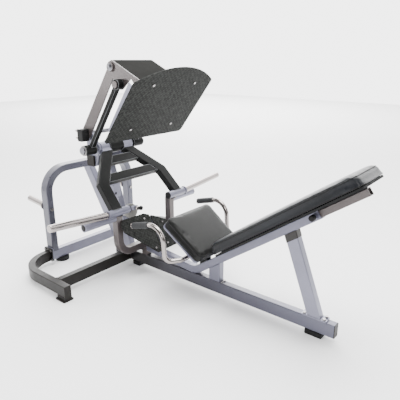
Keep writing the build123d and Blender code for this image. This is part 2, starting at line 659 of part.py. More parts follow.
back_dir = (cos(radians(BACK_SLOPE)), 0, sin(radians(BACK_SLOPE)))
back_up = (-sin(radians(BACK_SLOPE)), 0, cos(radians(BACK_SLOPE)))
with BuildPart() as back_slide_tube:
    inner_at = back_point(INNER_FROM, SEAT_TUBE / 2 - 1.2)
    inner_start = Plane(origin=point_3d(inner_at), x_dir=(0, 1, 0), z_dir=back_dir)
    extrude(tube_profile(inner_start, INNER_TUBE, INNER_TUBE, corner=4), amount=INNER_TO - INNER_FROM)
    for step in range(4):
        hole = back_point(PULL_PIN_S - step * 40, SEAT_TUBE / 2 - 1)
        extrude(ring_profile(side_plane(0), hole[0], hole[1], PIN_R + 0.6), amount=60, mode=Mode.SUBTRACT)
save(back_slide_tube, "back_slide_tube")

back_plane = Plane(origin=point_3d((BACK_FOOT.X, BACK_FOOT.Y)), x_dir=back_dir, z_dir=back_up)
with BuildPart() as back_board:
    with BuildSketch(back_plane.offset(BOARD_N)):
        with Locations(((BACK_PAD_FROM + BACK_PAD_TO) / 2, 0)):
            RectangleRounded(BACK_PAD_TO - BACK_PAD_FROM - 20, 2 * BACK_PAD_HALF - 20, 24)
    extrude(amount=BOARD_T)
    tube_top = SEAT_TUBE / 2 - 1.2 + INNER_TUBE / 2
    with BuildSketch(back_plane.offset(tube_top)):
        with Locations(((OUTER_RAIL_LONG + 20 + INNER_TO - 10) / 2, 0)):
            Rectangle(INNER_TO - OUTER_RAIL_LONG - 30, INNER_TUBE - 8)
    extrude(amount=BOARD_N - tube_top)
save(back_board, "back_board")

with BuildPart() as back_pad:
    with BuildSketch(back_plane.offset(BOARD_N + BOARD_T)):
        with Locations(((BACK_PAD_FROM + BACK_PAD_TO) / 2, 0)):
            RectangleRounded(BACK_PAD_TO - BACK_PAD_FROM, 2 * BACK_PAD_HALF, 30)
    extrude(amount=BACK_PAD_TOP - BOARD_N - BOARD_T)
    fillet(back_pad.faces().filter_by(GeomType.PLANE).sort_by(SortBy.AREA)[-1].edges(), 8)
save(back_pad, "back_pad")

with BuildPart() as back_pull_pin:
    pin_face = side_plane(-SEAT_TUBE / 2 + 3.5)
    pin_xz = back_point(PULL_PIN_S, SEAT_TUBE / 2 - 1)
    extrude(ring_profile(pin_face, pin_xz[0], pin_xz[1], PIN_R), amount=37)
    extrude(ring_profile(side_plane(-SEAT_TUBE / 2 - 20), pin_xz[0], pin_xz[1], 17), amount=26)
    fillet(back_pull_pin.edges().filter_by(GeomType.CIRCLE).group_by(Axis.Y)[0], 6)
save(back_pull_pin, "back_pull_pin")

# ---------------------------------------------------------------- weight lever

upper_run = Vector(ARM_KNEE_A - ARM_TOP_A, ARM_KNEE_Y - ARM_TOP_Y).normalized()
arm_depth = 50.0
arm_wide = 75.0
for side_name, side in SIDES.items():
    with BuildPart() as lever_arm:
        over_a = ARM_TOP_A - 80 * upper_run.X
        over_y = ARM_TOP_Y - 80 * upper_run.Y
        points = [(over_a, over_y), (ARM_KNEE_A, ARM_KNEE_Y), (HORN_A, ARM_FOOT_Y + 2)]
        with BuildLine() as arm_path:
            Polyline([arm_plane.from_local_coords((a, side * y, 0)) for a, y in points])
        run_dir = ARM_DIR * upper_run.X + Vector(0, side * upper_run.Y, 0)
        arm_from = arm_plane.from_local_coords((over_a, side * over_y, 0))
        arm_start = Plane(origin=arm_from, x_dir=ARM_NORMAL, z_dir=run_dir)
        sweep(tube_profile(arm_start, arm_depth, arm_wide, wall=4), transition=Transition.RIGHT)
        split(bisect_by=Plane(origin=arm_plane.from_local_coords((ARM_TOP_A, 0, 0)), z_dir=ARM_DIR))
        root_bore = ring_profile(side_plane(400), HORN_X, HORN_Z, HORN_ROOT_R)
        extrude(root_bore, amount=800, mode=Mode.SUBTRACT)
        keep_up = Plane(origin=(HORN_X, 0, HORN_Z), z_dir=-ARM_DIR)
        split(bisect_by=keep_up)
    save(lever_arm, f"lever_arm_{side_name}")

    with BuildPart() as lever_rod:
        with BuildSketch(layer(side, ROD_Y, ROD_T)):
            with Locations(along(LEVER_PIVOT, ROD_ANGLE, ROD_LONG / 2)):
                Rectangle(ROD_LONG, ROD_WIDE, rotation=ROD_ANGLE)
            for centre, outer in ((LEVER_PIVOT, MAIN_HUB_R), (ROD_TOP, ROD_HUB_R)):
                with Locations((centre.X, centre.Y)):
                    Circle(outer, mode=Mode.SUBTRACT)
        extrude(amount=ROD_T)
    save(lever_rod, f"lever_rod_{side_name}")

    with BuildPart() as horn:
        horn_tilt = radians(HORN_TILT)
        horn_axis = (0, side * cos(horn_tilt), sin(horn_tilt))
        collar_start = Plane(origin=(HORN_X, side * HORN_COLLAR_Y, HORN_Z), z_dir=horn_axis)
        extrude(ring_profile(collar_start.offset(HORN_COLLAR_T), 0, 0, HORN_R), amount=HORN_LONG)
        fillet(horn.edges().filter_by(GeomType.CIRCLE).sort_by(Axis.Z)[-1], 4)
    save(horn, f"weight_horn_{side_name}")


def inner_edge(a):
    """How far from the middle the inner face of a lever arm's upper run is, at a down the lever."""
    start_a = ARM_TOP_A + arm_wide / 2 * upper_run.Y
    start_y = ARM_TOP_Y - arm_wide / 2 * upper_run.X
    return start_y + (a - start_a) * upper_run.Y / upper_run.X


for member, a0, a1, depth in (("lever_cross_upper", 88, 148, 40), ("lever_cross_lower", 222, 284, 46)):
    with BuildPart() as cross_member:
        with BuildSketch(arm_plane.offset(-depth / 2)):
            with BuildLine():
                y0 = inner_edge(a0)
                y1 = inner_edge(a1)
                Polyline((a0, -y0), (a1, -y1), (a1, y1), (a0, y0), close=True)
            make_face()
        extrude(amount=depth)
    save(cross_member, member)

with BuildPart() as pivot_housings:
    for side in SIDES.values():
        with BuildSketch(layer(side, 62, 72)):
            with Locations((LEVER_PIVOT.X, LEVER_PIVOT.Y)):
                Circle(40)
            with Locations(along(LEVER_PIVOT, ARM_ANGLE, ARM_TOP_A / 2)):
                Rectangle(ARM_TOP_A, 54, rotation=ARM_ANGLE)
            with Locations((LEVER_PIVOT.X, LEVER_PIVOT.Y)):
                Circle(MAIN_AXLE_R + RUNNING_FIT, mode=Mode.SUBTRACT)
        extrude(amount=72)
save(pivot_housings, "pivot_housings")

with BuildPart() as lever_hub:
    hub = ring_profile(side_plane(62), LEVER_PIVOT.X, LEVER_PIVOT.Y, 46, MAIN_AXLE_R + RUNNING_FIT)
    extrude(hub, amount=124)
save(lever_hub, "lever_hub")

with BuildPart() as rod_hubs:
    for side in SIDES.values():
        hub_plane = layer(side, MAIN_HUB_Y, MAIN_HUB_LONG)
        hub = ring_profile(hub_plane, LEVER_PIVOT.X, LEVER_PIVOT.Y, MAIN_HUB_R, MAIN_AXLE_R + RUNNING_FIT)
        extrude(hub, amount=MAIN_HUB_LONG)
        boss_plane = layer(side, ROD_HUB_Y, ROD_HUB_LONG)
        boss = ring_profile(boss_plane, ROD_TOP.X, ROD_TOP.Y, ROD_HUB_R, ROD_PIN_R + RUNNING_FIT)
        extrude(boss, amount=ROD_HUB_LONG)
save(rod_hubs, "rod_hubs")

with BuildPart() as horn_sockets:
    for side in SIDES.values():
        root_long = HORN_COLLAR_Y + 2 - HORN_ROOT_Y
        root = ring_profile(layer(side, HORN_ROOT_Y, root_long), HORN_X, HORN_Z, HORN_ROOT_R)
        extrude(root, amount=root_long)
        horn_axis = (0, side * cos(radians(HORN_TILT)), sin(radians(HORN_TILT)))
        collar_start = Plane(origin=(HORN_X, side * HORN_COLLAR_Y, HORN_Z), z_dir=horn_axis)
        extrude(ring_profile(collar_start, 0, 0, HORN_COLLAR_R), amount=HORN_COLLAR_T)
save(horn_sockets, "horn_sockets")

# ---------------------------------------------------------------- rear links

link_angle = ROD_ANGLE
for side_name, side in SIDES.items():
    with BuildPart() as link_strap:
        with BuildSketch(layer(side, LINK_Y, LINK_T)) as strap:
            across = Vector(-sin(radians(link_angle)), cos(radians(link_angle)))
            ends = ((LINK_PIVOT, 44.0), (LINK_TOP, 35.0))
            with BuildLine():
                Polyline(
                    (LINK_PIVOT.X + across.X * 44, LINK_PIVOT.Y + across.Y * 44),
                    (LINK_TOP.X + across.X * 35, LINK_TOP.Y + across.Y * 35),
                    (LINK_TOP.X - across.X * 35, LINK_TOP.Y - across.Y * 35),
                    (LINK_PIVOT.X - across.X * 44, LINK_PIVOT.Y - across.Y * 44),
                    close=True,
                )
            make_face()
            for centre, outer in ends:
                with Locations((centre.X, centre.Y)):
                    Circle(outer)
            with Locations((LINK_PIVOT.X, LINK_PIVOT.Y)):
                Circle(LINK_AXLE_R + RUNNING_FIT, mode=Mode.SUBTRACT)
            with Locations((LINK_TOP.X, LINK_TOP.Y)):
                Circle(LINK_PIN_R + OPEN_FIT, mode=Mode.SUBTRACT)
        extrude(amount=LINK_T)
    save(link_strap, f"link_strap_{side_name}")

with BuildPart() as link_blocks:
    for side in SIDES.values():
        with BuildSketch(layer(side, LINK_Y + LINK_T, BLOCK_T)):
            with Locations((LINK_PIVOT.X, LINK_PIVOT.Y - 11)):
                RectangleRounded(BLOCK_LONG, 84, 10)
        extrude(amount=BLOCK_T)
        with BuildSketch(layer(side, LINK_Y + LINK_T, 3)):
            with Locations((LINK_PIVOT.X, LINK_PIVOT.Y)):
                Circle(LINK_AXLE_R + 2)
        extrude(amount=3, mode=Mode.SUBTRACT)
save(link_blocks, "link_blocks")

with BuildPart() as link_bolts:
    block_back = LINK_PIVOT.X - BLOCK_LONG / 2
    for side in SIDES.values():
        for bolt_z in (LINK_PIVOT.Y + 14, LINK_PIVOT.Y - 36):
            bolt_y = side * (LINK_Y + LINK_T + BLOCK_T / 2)
            bolt_at = Plane(origin=(block_back, bolt_y, bolt_z), z_dir=(-1, 0, 0))
            extrude(ring_profile(bolt_at, 0, 0, 15), amount=18)
            extrude(bolt_head_profile(bolt_at.offset(18), 0, 0, 22), amount=16)
            extrude(ring_profile(bolt_at.offset(34), 0, 0, 7), amount=14)
save(link_bolts, "link_bolts")

# ---------------------------------------------------------------- foot carriage

for side_name, side in SIDES.items():
    with BuildPart() as carriage_plate:
        with BuildSketch(layer(side, CARRIAGE_Y, PLATE)) as cheek:
            with BuildLine():
                Polyline(
                    (COVER_TOP.X, COVER_TOP.Y),
                    plate_point(COVER_MEETS_S, 0),
                    plate_point(95, 0),
                    plate_point(95, 26),
                    plate_point(COVER_MEETS_S - 95, 46),
                    (-232, 1352),
                    (ROD_TOP.X + 24, ROD_TOP.Y - 22),
                    (ROD_TOP.X - 24, ROD_TOP.Y - 22),
                    (LINK_TOP.X - 34, LINK_TOP.Y - 16),
                    (LINK_TOP.X - 30, LINK_TOP.Y + 24),
                    close=True,
                )
            make_face()
            for centre, outer in ((LINK_TOP, 38), (ROD_TOP, 33)):
                with Locations((centre.X, centre.Y)):
                    Circle(outer)
            with Locations((ROD_TOP.X, ROD_TOP.Y)):
                Circle(ROD_PIN_R, mode=Mode.SUBTRACT)
            with Locations((LINK_TOP.X, LINK_TOP.Y)):
                Circle(LINK_PIN_R, mode=Mode.SUBTRACT)
        extrude(amount=PLATE)
    save(carriage_plate, f"carriage_plate_{side_name}")

with BuildPart() as carriage_cover:
    plate_meet = plate_point(COVER_MEETS_S, 0)
    fall = Vector(plate_meet[0] - COVER_TOP.X, plate_meet[1] - COVER_TOP.Y)
    fall_angle = degrees(atan2(fall.Y, fall.X))
    cover_start = Plane(
        origin=(COVER_TOP.X, 0, COVER_TOP.Y),
        x_dir=(cos(radians(fall_angle)), 0, sin(radians(fall_angle))),
        z_dir=(-sin(radians(fall_angle)), 0, cos(radians(fall_angle))),
    )
    with BuildSketch(cover_start):
        with Locations((fall.length / 2 + 4, 0)):
            Rectangle(fall.length + 8, 2 * CARRIAGE_Y)
    extrude(amount=-4)
    split(bisect_by=Plane(origin=point_3d(plate_point(0, 0)), z_dir=plate_back))
save(carriage_cover, "carriage_cover")

plate_front = Plane(origin=point_3d(plate_point(0, -PLATE_T)), x_dir=plate_up, z_dir=plate_back)
with BuildPart() as foot_plate:
    with BuildSketch(plate_front) as tread:
        with BuildLine():
            Line((0, -PLATE_HALF), (PLATE_SIDE, -PLATE_HALF))
            ThreePointArc((PLATE_SIDE, -PLATE_HALF), (PLATE_LONG, 0), (PLATE_SIDE, PLATE_HALF))
            Line((PLATE_SIDE, PLATE_HALF), (0, PLATE_HALF))
            Line((0, PLATE_HALF), (0, -PLATE_HALF))
        make_face()
        fillet(tread.vertices(), PLATE_CORNER)
        for bolt_s in PLATE_BOLT_S:
            for side in SIDES.values():
                with Locations((bolt_s, side * PLATE_BOLT_Y)):
                    Circle(6.5, mode=Mode.SUBTRACT)
    extrude(amount=PLATE_T)
save(foot_plate, "foot_plate")

with BuildPart() as foot_plate_frame:
    for side in SIDES.values():
        with BuildSketch(layer(side, 322, 8)):
            with BuildLine():
                rib = (plate_point(80, 0), plate_point(430, 0), plate_point(430, 46), plate_point(80, 30))
                Polyline(*rib, close=True)
            make_face()
        extrude(amount=8)
        for bar_s in (112, 398):
            with BuildSketch(layer(side, CARRIAGE_Y + PLATE, 322 - CARRIAGE_Y - PLATE)):
                with Locations(plate_point(bar_s, 13)):
                    Rectangle(48, 26, rotation=PLATE_SLOPE)
            extrude(amount=322 - CARRIAGE_Y - PLATE)
    for bar_s in (112, 320):
        with BuildSketch(side_plane(CARRIAGE_Y)):
            with Locations(plate_point(bar_s, 13)):
                Rectangle(48, 26, rotation=PLATE_SLOPE)
        extrude(amount=2 * CARRIAGE_Y)
    for bolt_s in PLATE_BOLT_S:
        for side in SIDES.values():
            bolt_hole = Plane(origin=point_3d(plate_point(bolt_s, 0)), x_dir=(0, 1, 0), z_dir=plate_back)
            extrude(ring_profile(bolt_hole, side * PLATE_BOLT_Y, 0, 6.5), amount=60, mode=Mode.SUBTRACT)
save(foot_plate_frame, "foot_plate_frame")

with BuildPart() as foot_plate_bolts:
    for bolt_s in PLATE_BOLT_S:
        for side in SIDES.values():
            head = Plane(origin=point_3d(plate_point(bolt_s, -PLATE_T)), x_dir=(0, 1, 0), z_dir=-plate_back)
            extrude(ring_profile(head, side * PLATE_BOLT_Y, 0, 9), amount=4)
            extrude(ring_profile(head, side * PLATE_BOLT_Y, 0, 6), amount=-24)
save(foot_plate_bolts, "foot_plate_bolts")

with BuildPart() as carriage_pins:
    for side in SIDES.values():
        rod_pin = ring_profile(layer(side, CARRIAGE_Y, 58), ROD_TOP.X, ROD_TOP.Y, ROD_PIN_R)
        extrude(rod_pin, amount=58)
        extrude(ring_profile(layer(side, 223, 6), ROD_TOP.X, ROD_TOP.Y, ROD_PIN_R + 7), amount=6)
        link_pin = ring_profile(layer(side, 146, 34), LINK_TOP.X, LINK_TOP.Y, LINK_PIN_R)
        extrude(link_pin, amount=34)
        extrude(ring_profile(layer(side, 145, 8), LINK_TOP.X, LINK_TOP.Y, LINK_PIN_R + 6), amount=8)
        extrude(ring_profile(layer(side, 177, 12), LINK_TOP.X, LINK_TOP.Y, 28), amount=12)
save(carriage_pins, "carriage_pins")

# ---------------------------------------------------------------- feet and frame bolts

with BuildPart() as rubber_feet:
    with BuildSketch(Plane.XY):
        with Locations((981, 0)):
            RectangleRounded(102, 58, 8)
        with Locations((-430, 0)):
            RectangleRounded(70, 58, 8)
        for side in SIDES.values():
            with Locations((REAR_X, side * 310)):
                Circle(50)
    extrude(amount=FOOT_H)
    fillet(rubber_feet.edges().group_by(Axis.Z)[0], 3)
save(rubber_feet, "rubber_feet")

with BuildPart() as frame_bolts:
    for side in SIDES.values():
        for bolt_x in (REAR_X - 36, REAR_X + 36):
            for bolt_z in (FOOT_H + 14, FOOT_H + 84):
                flange = layer(side, FLANGE_Y + PLATE, 8)
                extrude(bolt_head_profile(flange, bolt_x, bolt_z, 16), amount=8)
    for bolt_x in (POST_FOOT_X - 56, POST_FOOT_X + 60):
        for bolt_y in (-17, 17):
            extrude(bolt_head_profile(Plane.XY.offset(RAIL_TOP + PLATE), bolt_x, bolt_y, 16), amount=9)
    for bolt_y in (-13, 13):
        extrude(bolt_head_profile(Plane.XY.offset(RAIL_TOP), SHORT_POST[1] + 16, bolt_y, 15), amount=8)
    for bolt_at in ((-57, 29), (-60, 248), (85, 183), (60, 29)):
        extrude(ring_profile(step_plane.offset(STEP_T), bolt_at[0], bolt_at[1], 7), amount=4)
    for side in SIDES.values():
        hoop_face = Plane(origin=(REAR_X + TUBE_TALL / 2, side * HOOP_Y, STORAGE_Z - 18), z_dir=(1, 0, 0))
        extrude(bolt_head_profile(hoop_face, 0, 0, 22), amount=10)
save(frame_bolts, "frame_bolts")
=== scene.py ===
"""Looks of the plate-loaded leg press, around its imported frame."""
import bpy
import bmesh
from math import cos, pi, radians, sin, sqrt
from mathutils import Euler, Matrix, Vector
from mathutils.bvhtree import BVHTree


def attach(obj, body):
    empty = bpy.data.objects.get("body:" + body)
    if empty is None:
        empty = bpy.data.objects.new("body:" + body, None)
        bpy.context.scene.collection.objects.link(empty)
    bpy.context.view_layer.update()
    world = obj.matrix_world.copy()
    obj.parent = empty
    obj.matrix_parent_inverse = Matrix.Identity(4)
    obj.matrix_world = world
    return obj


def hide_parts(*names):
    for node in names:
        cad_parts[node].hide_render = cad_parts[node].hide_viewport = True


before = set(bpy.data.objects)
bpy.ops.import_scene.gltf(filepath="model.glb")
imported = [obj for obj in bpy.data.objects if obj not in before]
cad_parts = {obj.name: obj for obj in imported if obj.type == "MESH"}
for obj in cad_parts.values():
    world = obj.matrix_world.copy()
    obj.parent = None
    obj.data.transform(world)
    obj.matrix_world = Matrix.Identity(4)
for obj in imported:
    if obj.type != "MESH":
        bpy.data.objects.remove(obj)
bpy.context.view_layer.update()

# ------------------------------------------------------------------ camera

cam_data = bpy.data.cameras.new("camera")
cam = bpy.data.objects.new("camera", cam_data)
bpy.context.scene.collection.objects.link(cam)
cam.location = (1.800, -2.033, 1.459)
cam.rotation_euler = Euler((radians(72.2), 0.0, radians(38.9)))
cam_data.lens = 39.3
cam_data.sensor_width = 36.0
cam_data.dof.use_dof = False
bpy.context.scene.camera = cam

# ------------------------------------------------------------------ materials


class Mat:
    """One procedural material, with short names for the nodes that it is built from."""

    def __init__(self, name):
        self.mat = bpy.data.materials.new(name)
        self.mat.use_nodes = True
        self.tree = self.mat.node_tree
        self.bsdf = self.tree.nodes["Principled BSDF"]
        self.place = self.new("ShaderNodeTexCoord").outputs["Object"]

    def new(self, kind, **values):
        node = self.tree.nodes.new(kind)
        for key, value in values.items():
            setattr(node, key, value)
        return node

    def link(self, a, b):
        self.tree.links.new(a, b)

    def noise(self, scale, detail=3.0, rough=0.55, stretch=(1, 1, 1)):
        mapping = self.new("ShaderNodeMapping")
        mapping.inputs["Scale"].default_value = stretch
        self.link(self.place, mapping.inputs["Vector"])
        node = self.new("ShaderNodeTexNoise")
        node.inputs["Scale"].default_value = scale
        node.inputs["Detail"].default_value = detail
        node.inputs["Roughness"].default_value = rough
        self.link(mapping.outputs["Vector"], node.inputs["Vector"])
        return node.outputs["Fac"]

    def spread(self, value, low, high, from_low=0.3, from_high=0.7):
        node = self.new("ShaderNodeMapRange")
        node.inputs["From Min"].default_value = from_low
        node.inputs["From Max"].default_value = from_high
        node.inputs["To Min"].default_value = low
        node.inputs["To Max"].default_value = high
        self.link(value, node.inputs["Value"])
        return node.outputs["Result"]

    def mix(self, fac, a, b):
        node = self.new("ShaderNodeMix", data_type="RGBA")
        self.link(fac, node.inputs["Factor"])
        for socket, value in ((node.inputs[6], a), (node.inputs[7], b)):
            if isinstance(value, tuple):
                socket.default_value = (*value, 1.0)
            else:
                self.link(value, socket)
        return node.outputs[2]

    def math(self, operation, a, b):
        node = self.new("ShaderNodeMath", operation=operation)
        for socket, value in ((node.inputs[0], a), (node.inputs[1], b)):
            if isinstance(value, (int, float)):
                socket.default_value = value
            else:
                self.link(value, socket)
        return node.outputs[0]

    def bump(self, height, strength, distance, before=None):
        node = self.new("ShaderNodeBump")
        node.inputs["Strength"].default_value = strength
        node.inputs["Distance"].default_value = distance
        self.link(height, node.inputs["Height"])
        if before is not None:
            self.link(before, node.inputs["Normal"])
        return node.outputs["Normal"]

    def set(self, **sockets):
        names = {
            "color": "Base Color",
            "rough": "Roughness",
            "metal": "Metallic",
            "normal": "Normal",
            "coat": "Coat Weight",
            "coat_rough": "Coat Roughness",
            "spec": "Specular IOR Level",
        }
        for key, value in sockets.items():
            socket = self.bsdf.inputs[names[key]]
            if isinstance(value, tuple):
                socket.default_value = (*value, 1.0)
            elif isinstance(value, (int, float)):
                socket.default_value = value
            else:
                self.link(value, socket)
        return self.mat


def lighter(color, times):
    return tuple(min(1.0, c * times) for c in color)


def paint(name, dark, light, metal=0.3, rough=(0.28, 0.42), coat=0.2, spec=0.4, along_x=None, edge=0.0):
    """Powder coat: fine orange peel, flake and a slow change of tone.

    along_x fades to another color between two places along X. edge is the width of a lighter band along the
    edges, a painted highlight; the rounding there also bends the shading normal.
    """
    m = Mat(name)
    tone = m.noise(3.1, 4.0)
    flake = m.noise(900.0, 2.0)
    color = m.mix(m.spread(tone, 0.0, 1.0), dark, light)
    if along_x:
        low_x, high_x, other = along_x
        split = m.new("ShaderNodeSeparateXYZ")
        m.link(m.place, split.inputs["Vector"])
        color = m.mix(m.spread(split.outputs["X"], 0.0, 1.0, low_x, high_x), color, other)
    color = m.mix(m.spread(flake, 0.0, 0.12, 0.45, 0.75), color, lighter(light, 2.2))
    scuff = m.noise(26.0, 6.0, 0.7)
    before = None
    if edge:
        # Painted highlight: within edge of a rounded corner the colour is mixed towards a light grey,
        # standing in for light caught on the edges.
        wear_and_edge_highlight = m.new("ShaderNodeBevel", samples=8)
        wear_and_edge_highlight.inputs["Radius"].default_value = edge
        flat = m.new("ShaderNodeNewGeometry")
        same = m.new("ShaderNodeVectorMath", operation="DOT_PRODUCT")
        m.link(wear_and_edge_highlight.outputs["Normal"], same.inputs[0])
        m.link(flat.outputs["Normal"], same.inputs[1])
        color = m.mix(m.spread(same.outputs["Value"], 1.0, 0.0, 0.86, 0.995), color, (0.17, 0.175, 0.18))
        before = wear_and_edge_highlight.outputs["Normal"]
    normal = m.bump(m.noise(420.0, 2.0), 0.10, 0.0003, before)
    return m.set(
        color=color,
        metal=metal,
        rough=m.spread(scuff, rough[0], rough[1]),
        normal=normal,
        coat=coat,
        coat_rough=0.2,
        spec=spec,
    )


def polished(name, tint, rough=(0.05, 0.12), stretch=(1, 1, 1)):
    """Chrome or turned steel, with faint hairlines and smudges."""
    m = Mat(name)
    hair = m.noise(240.0, 3.0, 0.6, stretch)
    smudge = m.noise(9.0, 4.0)
    return m.set(
        color=m.mix(m.spread(smudge, 0.0, 1.0), tint, lighter(tint, 1.08)),
        metal=1.0,
        rough=m.spread(smudge, rough[0], rough[1]),
        normal=m.bump(hair, 0.05, 0.0003),
    )


def vinyl(name, dark, light, rough=(0.34, 0.46), coat=0.06):
    """Upholstery vinyl: a pebbled leather grain over soft folds."""
    m = Mat(name)
    cells = m.new("ShaderNodeTexVoronoi", feature="DISTANCE_TO_EDGE")
    cells.inputs["Scale"].default_value = 420.0
    m.link(m.place, cells.inputs["Vector"])
    crease = m.spread(cells.outputs["Distance"], 0.0, 1.0, 0.0, 0.25)
    fold = m.noise(14.0, 5.0, 0.6)
    normal = m.bump(crease, 0.35, 0.0005)
    normal = m.bump(fold, 0.10, 0.004, normal)
    wear_and_edge_highlight = m.noise(5.0, 3.0)
    return m.set(
        color=m.mix(m.spread(wear_and_edge_highlight, 0.0, 1.0), dark, light),
        rough=m.spread(fold, rough[0], rough[1]),
        normal=normal,
        coat=coat,
        coat_rough=0.3,
        spec=0.14,
    )


def rubber(name, dark, light, rough=(0.55, 0.75), grain=300.0):
    """Rubber, plastic or cloth with a fine grain and no shine."""
    m = Mat(name)
    fine = m.noise(grain, 3.0)
    slow = m.noise(11.0, 4.0)
    return m.set(
        color=m.mix(m.spread(slow, 0.0, 1.0), dark, light),
        rough=m.spread(slow, rough[0], rough[1]),
        normal=m.bump(fine, 0.25, 0.0006),
        spec=0.25,
    )


def tread(name, slope, pitch, dark, light):
    """Non-slip plate at a slope in degrees: small raised studs over a gritty coating."""
    m = Mat(name)
    up = m.new("ShaderNodeVectorMath", operation="DOT_PRODUCT")
    up.inputs[1].default_value = (cos(radians(slope)), 0.0, sin(radians(slope)))
    m.link(m.place, up.inputs[0])
    split = m.new("ShaderNodeSeparateXYZ")
    m.link(m.place, split.inputs["Vector"])
    flat = m.new("ShaderNodeCombineXYZ")
    m.link(m.math("ADD", up.outputs["Value"], split.outputs["Y"]), flat.inputs["X"])
    m.link(m.math("SUBTRACT", up.outputs["Value"], split.outputs["Y"]), flat.inputs["Y"])
    cells = m.new("ShaderNodeTexVoronoi", voronoi_dimensions="2D")
    cells.inputs["Scale"].default_value = 1.0 / pitch
    cells.inputs["Randomness"].default_value = 0.0
    m.link(flat.outputs["Vector"], cells.inputs["Vector"])
    stud = m.spread(cells.outputs["Distance"], 1.0, 0.0, 0.16, 0.34)
    grit = m.noise(700.0, 3.0, 0.7)
    slow = m.noise(4.0, 4.0)
    normal = m.bump(stud, 0.6, 0.0012)
    normal = m.bump(grit, 0.35, 0.0005, normal)
    wear_and_edge_highlight = m.noise(46.0, 5.0, 0.7)
    rubbed = lighter(light, 3.4)
    base = m.mix(m.spread(slow, 0.0, 1.0), dark, light)
    base = m.mix(m.spread(wear_and_edge_highlight, 0.0, 0.6, 0.42, 0.62), base, rubbed)
    color = m.mix(m.math("MULTIPLY", stud, 0.4), base, rubbed)
    return m.set(color=color, rough=m.spread(grit, 0.50, 0.70), normal=normal, spec=0.08)


silver = paint("silver_coat", (0.115, 0.115, 0.155), (0.15, 0.15, 0.20), metal=0.45, rough=(0.30, 0.36))
silver_warm = paint(
    "silver_coat_warm", (0.060, 0.050, 0.050), (0.095, 0.081, 0.080), metal=0.45, rough=(0.30, 0.38)
)
silver_bright = paint(
    "silver_coat_bright", (0.165, 0.165, 0.215), (0.205, 0.205, 0.265), metal=0.45, rough=(0.28, 0.33)
)
base_dark = paint(
    "base_coat", (0.0075, 0.0066, 0.0060), (0.014, 0.0122, 0.011), metal=0.0, rough=(0.34, 0.46), coat=0.04,
    spec=0.16,
)
# Painted shade: the main rail is silver paint all along; its near-black tone towards low X stands in for dark
# reflections and shade, and fades to the silver between X = -0.35 and 0.95.
rail_with_painted_shade = paint(
    "rail_coat_painted_shade", (0.010, 0.009, 0.010), (0.018, 0.016, 0.018), metal=0.3, rough=(0.28, 0.38), spec=0.3,
    along_x=(-0.35, 0.95, (0.125, 0.125, 0.168)),
)
hoop_coat = paint("hoop_coat", (0.050, 0.050, 0.064), (0.10, 0.10, 0.13), metal=0.5, rough=(0.26, 0.34))
# edge=0.008 gives the charcoal parts a painted highlight along their edges.
charcoal = paint(
    "charcoal_coat", (0.0040, 0.0043, 0.0042), (0.0074, 0.0076, 0.0074), metal=0.0, rough=(0.36, 0.48),
    coat=0.03, spec=0.08, edge=0.008,
)
bracket_dark = paint(
    "bracket_coat", (0.014, 0.0120, 0.0110), (0.025, 0.0215, 0.020), metal=0.1, rough=(0.35, 0.5), spec=0.25
)
cover_dark = paint(
    "cover_coat", (0.014, 0.014, 0.0135), (0.022, 0.022, 0.021), metal=0.0, rough=(0.7, 0.85), coat=0.0,
    spec=0.0,
)
chrome = polished("chrome_plate", (0.36, 0.33, 0.32))
handle_satin = polished("handle_satin", (0.30, 0.275, 0.265), rough=(0.16, 0.26))
steel = polished("turned_steel", (0.20, 0.20, 0.22), rough=(0.2, 0.34), stretch=(1, 8, 1))
zinc = polished("zinc_bolt", (0.26, 0.25, 0.25), rough=(0.22, 0.36))
black_vinyl = vinyl("seat_vinyl", (0.0042, 0.0044, 0.0042), (0.0078, 0.0080, 0.0076))
# Painted reflection: the back pad is black vinyl like the seat; the blue tint in these colours stands in for
# reflected sky.
back_vinyl = vinyl(
    "back_vinyl", (0.0044, 0.0050, 0.0066), (0.0078, 0.0090, 0.0118), rough=(0.26, 0.36), coat=0.2
)
pipe_vinyl = vinyl("piping_vinyl", (0.0030, 0.0030, 0.0033), (0.0055, 0.0055, 0.0060), rough=(0.28, 0.38))
black_rubber = rubber("black_rubber", (0.0030, 0.0030, 0.0033), (0.0070, 0.0070, 0.0075))
grip_rubber = rubber("grip_rubber", (0.016, 0.017, 0.018), (0.028, 0.029, 0.031), rough=(0.45, 0.6))
grey_rubber = rubber("grey_rubber", (0.17, 0.165, 0.155), (0.24, 0.235, 0.22), rough=(0.5, 0.7))
cap_plastic = rubber("cap_plastic", (0.006, 0.0045, 0.0035), (0.011, 0.0085, 0.007), rough=(0.4, 0.55))
board_cloth = rubber(
    "board_cover", (0.0030, 0.0030, 0.0034), (0.006, 0.006, 0.0065), rough=(0.6, 0.8), grain=900.0
)
foot_tread = tread("foot_tread", 51.9, 0.030, (0.0058, 0.0063, 0.0058), (0.0098, 0.0104, 0.0096))
step_tread = tread("step_tread", 119.05, 0.026, (0.0058, 0.0063, 0.0058), (0.0105, 0.011, 0.0102))

